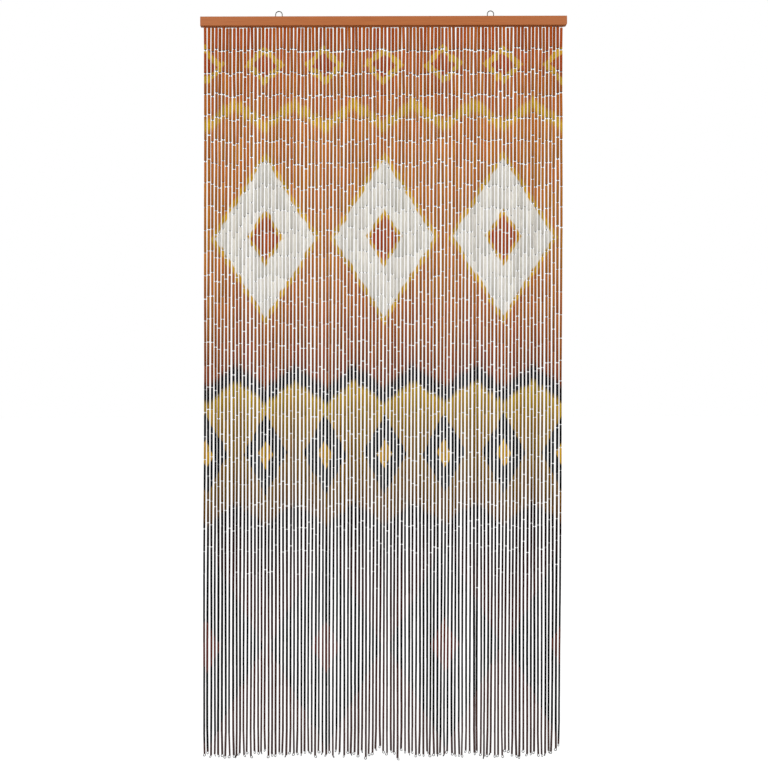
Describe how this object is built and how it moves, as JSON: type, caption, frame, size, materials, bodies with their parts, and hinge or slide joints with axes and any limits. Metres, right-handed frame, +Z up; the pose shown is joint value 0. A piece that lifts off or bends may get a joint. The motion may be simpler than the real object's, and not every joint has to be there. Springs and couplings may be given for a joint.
{
  "type": "bamboo door curtain",
  "caption": "Door curtain: a painted wooden rail hung by two wire eyes, with a close row of painted bamboo tube strands below it.",
  "frame": {"origin": "over the middle of the rail's length, at the height of the inner tops of the two wire eyes, where hooks bear", "axes": "+X along the rail to the viewer's right, +Y to the back, towards the wall, +Z up"},
  "size_m": [1, 0.016, 2.0494],
  "materials": {
    "rail_paint": "softwood batten, satin terracotta paint",
    "steel_wire": "zinc-plated steel wire, dull",
    "painted_bamboo": "bamboo tubes, painted in several colours, satin"
  },
  "bodies": {
    "root": {"header_rail": "rail_paint", "wire_eye_left": "steel_wire", "wire_eye_right": "steel_wire", "strand_curtain": "painted_bamboo"}
  },
  "joints": []
}
